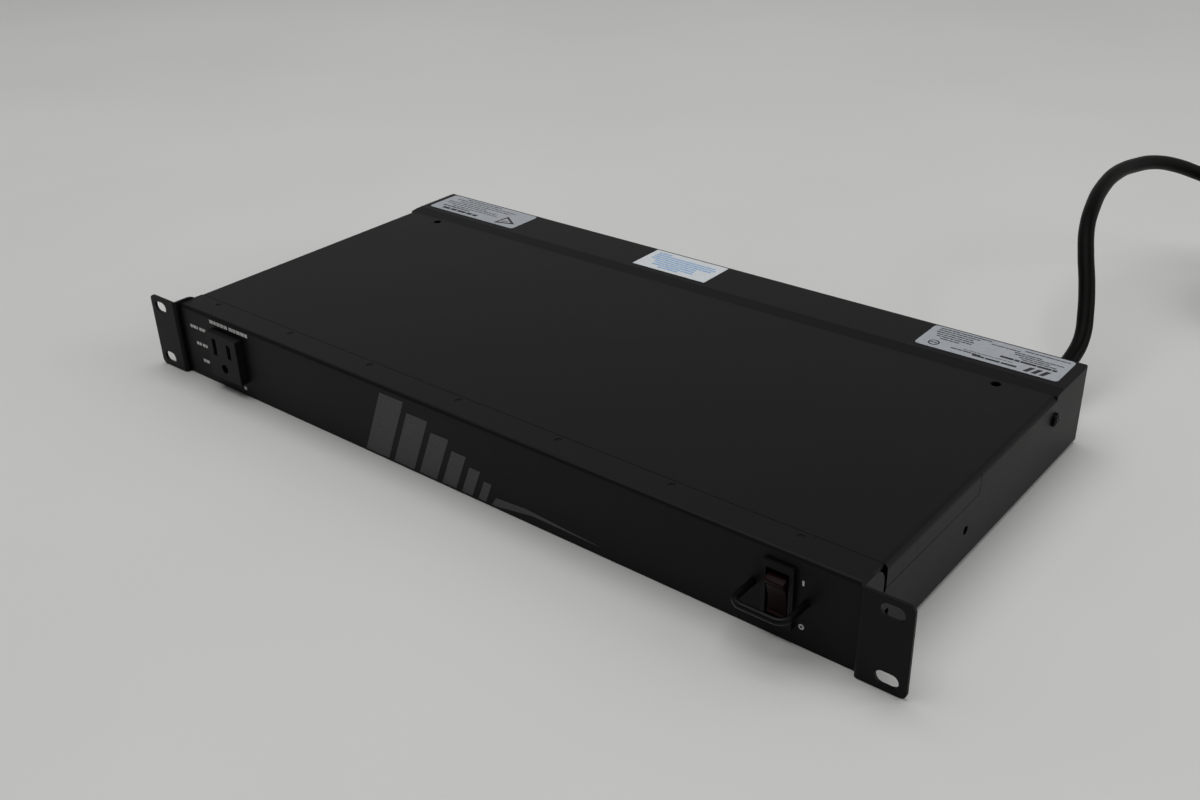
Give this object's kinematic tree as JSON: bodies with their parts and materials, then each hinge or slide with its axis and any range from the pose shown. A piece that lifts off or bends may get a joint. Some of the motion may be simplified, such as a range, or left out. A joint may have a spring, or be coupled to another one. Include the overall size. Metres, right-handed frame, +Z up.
{
  "type": "rack power strip",
  "caption": "One-unit rack power strip: folded steel case with slotted ears, front outlet, guarded red rocker switch, rear outlets, reset breaker and a captive mains cord.",
  "frame": {"origin": "centre of the underside of the object's box, measured without the free cord", "axes": "+X to the right seen from the front along the ears, +Y to the back, +Z up"},
  "size_m": [0.6041, 0.5357, 0.0844],
  "materials": {
    "black_steel": "satin powder coat",
    "screw_black": "black oxide",
    "outlet_plastic": "fine matte",
    "switch_plastic": "satin",
    "red_lens": "translucent red, unlit",
    "lamp_glass": "clear",
    "brass": "stamped",
    "zinc_steel": "zinc plated",
    "guard_rod": "black coat",
    "button_plastic": "satin",
    "board": "solder mask",
    "varistor_coat": "dipped",
    "capacitor_case": "moulded",
    "choke_core": "wound core",
    "wire_insulation": "pvc",
    "label_silver": "metallised polyester",
    "label_white": "paper-backed vinyl",
    "cord_jacket": "pvc jacket",
    "plug_plastic": "moulded"
  },
  "bodies": {
    "chassis": {"chassis_tray": "black_steel", "front_panel": "black_steel", "top_cover": "black_steel", "rear_panel": "black_steel", "side_screws": "screw_black", "front_outlet": "outlet_plastic", "front_contacts": "brass", "switch_housing": "switch_plastic", "switch_lamp": "lamp_glass", "switch_terminals": "brass", "switch_guard": "guard_rod", "guard_nuts": "zinc_steel", "rear_outlet_1": "outlet_plastic", "rear_outlet_2": "outlet_plastic", "rear_outlet_3": "outlet_plastic", "rear_outlet_4": "outlet_plastic", "rear_outlet_5": "outlet_plastic", "rear_outlet_6": "outlet_plastic", "rear_outlet_7": "outlet_plastic", "rear_outlet_8": "outlet_plastic", "bus_hot": "brass", "bus_neutral": "brass", "bus_ground": "brass", "breaker_body": "switch_plastic", "breaker_nut": "zinc_steel", "surge_board": "board", "board_standoffs": "zinc_steel", "varistors": "varistor_coat", "filter_capacitor": "capacitor_case", "choke": "choke_core", "ground_stud": "zinc_steel", "ground_nut": "zinc_steel", "wire_harness": "wire_insulation", "label_left": "label_silver", "label_middle": "label_white", "label_right": "label_silver", "strain_relief": "plug_plastic", "power_cord": "cord_jacket", "cord_coil": "cord_jacket", "cord_tie": "plug_plastic", "cord_lead": "cord_jacket", "plug_body": "plug_plastic", "plug_blades": "brass", "plug_ground_pin": "brass"},
    "rocker": {"switch_rocker": "red_lens"},
    "reset": {"breaker_button": "button_plastic"}
  },
  "joints": [
    {"name": "rocker_tilt", "type": "hinge", "parent": "chassis", "child": "rocker", "pos_m": [0.182, -0.1075, 0.02185], "axis": [-1, 0, 0], "range_deg": [0, 20]},
    {"name": "reset_slide", "type": "slide", "parent": "chassis", "child": "reset", "axis": [0, 1, 0], "range_m": [0, 0.003]}
  ]
}
